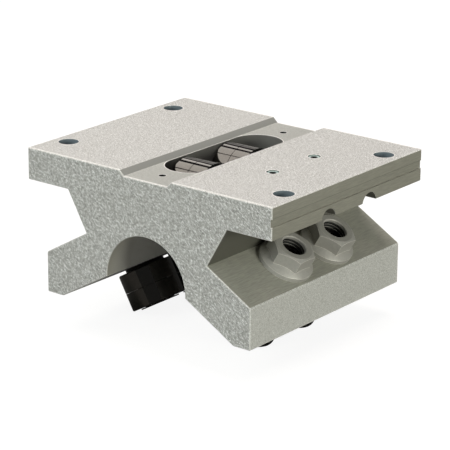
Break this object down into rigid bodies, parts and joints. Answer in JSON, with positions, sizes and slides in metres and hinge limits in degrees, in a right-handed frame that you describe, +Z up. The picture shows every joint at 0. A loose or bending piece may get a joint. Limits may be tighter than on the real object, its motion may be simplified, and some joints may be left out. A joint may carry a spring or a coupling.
{
  "type": "linear pillow block bearing",
  "caption": "Open pillow block housing whose paired ball bearing rollers sit in three rows round a shaft, with a top channel and window, undercut flanges and slanted legs held by flange nuts",
  "frame": {"origin": "centre of the four mounting holes on the flat top face", "axes": "+X across the flanges, +Y along the shaft towards the rear end, +Z up out of the mounting face; the shaft lies below"},
  "size_m": [0.0826, 0.0666, 0.0489],
  "materials": {
    "housing_aluminium": "extruded and clear anodised",
    "bearing_steel": "ground bearing steel with a dark oiled surface",
    "axle_steel": "ground steel",
    "washer_steel": "plain steel",
    "nut_steel": "zinc plated steel",
    "screw_steel": "plated steel"
  },
  "bodies": {
    "block": {"housing": "housing_aluminium", "top_axle_front": "axle_steel", "top_washer_front": "washer_steel", "top_spacer_front": "washer_steel", "set_screw_front": "screw_steel", "inner_rings_top_front": "bearing_steel", "inner_rings_right_front": "bearing_steel", "stud_right_front": "axle_steel", "washer_right_front": "washer_steel", "flange_nut_right_front": "nut_steel", "inner_rings_left_front": "bearing_steel", "stud_left_front": "axle_steel", "washer_left_front": "washer_steel", "flange_nut_left_front": "nut_steel", "top_axle_rear": "axle_steel", "top_washer_rear": "washer_steel", "top_spacer_rear": "washer_steel", "set_screw_rear": "screw_steel", "inner_rings_top_rear": "bearing_steel", "inner_rings_right_rear": "bearing_steel", "stud_right_rear": "axle_steel", "washer_right_rear": "washer_steel", "flange_nut_right_rear": "nut_steel", "inner_rings_left_rear": "bearing_steel", "stud_left_rear": "axle_steel", "washer_left_rear": "washer_steel", "flange_nut_left_rear": "nut_steel"},
    "roller_top_front_1": {"outer_ring_top_front_1": "bearing_steel"},
    "roller_top_front_2": {"outer_ring_top_front_2": "bearing_steel"},
    "roller_right_front_1": {"outer_ring_right_front_1": "bearing_steel"},
    "roller_right_front_2": {"outer_ring_right_front_2": "bearing_steel"},
    "roller_left_front_1": {"outer_ring_left_front_1": "bearing_steel"},
    "roller_left_front_2": {"outer_ring_left_front_2": "bearing_steel"},
    "roller_top_rear_1": {"outer_ring_top_rear_1": "bearing_steel"},
    "roller_top_rear_2": {"outer_ring_top_rear_2": "bearing_steel"},
    "roller_right_rear_1": {"outer_ring_right_rear_1": "bearing_steel"},
    "roller_right_rear_2": {"outer_ring_right_rear_2": "bearing_steel"},
    "roller_left_rear_1": {"outer_ring_left_rear_1": "bearing_steel"},
    "roller_left_rear_2": {"outer_ring_left_rear_2": "bearing_steel"}
  },
  "joints": [
    {"name": "turn_top_front_1", "type": "hinge", "parent": "block", "child": "roller_top_front_1", "pos_m": [-0.00387, -0.0091, -0.00952], "axis": [1, 0, 0], "continuous": true},
    {"name": "turn_top_front_2", "type": "hinge", "parent": "block", "child": "roller_top_front_2", "pos_m": [0.00147, -0.0091, -0.00952], "axis": [1, 0, 0], "continuous": true},
    {"name": "turn_right_front_1", "type": "hinge", "parent": "block", "child": "roller_right_front_1", "pos_m": [0.01661, -0.0091, -0.04266], "axis": [0.5, 0, 0.866], "continuous": true},
    {"name": "turn_right_front_2", "type": "hinge", "parent": "block", "child": "roller_right_front_2", "pos_m": [0.01929, -0.0091, -0.03803], "axis": [0.5, 0, 0.866], "continuous": true},
    {"name": "turn_left_front_1", "type": "hinge", "parent": "block", "child": "roller_left_front_1", "pos_m": [-0.01661, -0.0091, -0.04266], "axis": [-0.5, 0, 0.866], "continuous": true},
    {"name": "turn_left_front_2", "type": "hinge", "parent": "block", "child": "roller_left_front_2", "pos_m": [-0.01929, -0.0091, -0.03803], "axis": [-0.5, 0, 0.866], "continuous": true},
    {"name": "turn_top_rear_1", "type": "hinge", "parent": "block", "child": "roller_top_rear_1", "pos_m": [-0.00387, 0.0091, -0.00952], "axis": [1, 0, 0], "continuous": true},
    {"name": "turn_top_rear_2", "type": "hinge", "parent": "block", "child": "roller_top_rear_2", "pos_m": [0.00147, 0.0091, -0.00952], "axis": [1, 0, 0], "continuous": true},
    {"name": "turn_right_rear_1", "type": "hinge", "parent": "block", "child": "roller_right_rear_1", "pos_m": [0.01661, 0.0091, -0.04266], "axis": [0.5, 0, 0.866], "continuous": true},
    {"name": "turn_right_rear_2", "type": "hinge", "parent": "block", "child": "roller_right_rear_2", "pos_m": [0.01929, 0.0091, -0.03803], "axis": [0.5, 0, 0.866], "continuous": true},
    {"name": "turn_left_rear_1", "type": "hinge", "parent": "block", "child": "roller_left_rear_1", "pos_m": [-0.01661, 0.0091, -0.04266], "axis": [-0.5, 0, 0.866], "continuous": true},
    {"name": "turn_left_rear_2", "type": "hinge", "parent": "block", "child": "roller_left_rear_2", "pos_m": [-0.01929, 0.0091, -0.03803], "axis": [-0.5, 0, 0.866], "continuous": true}
  ]
}
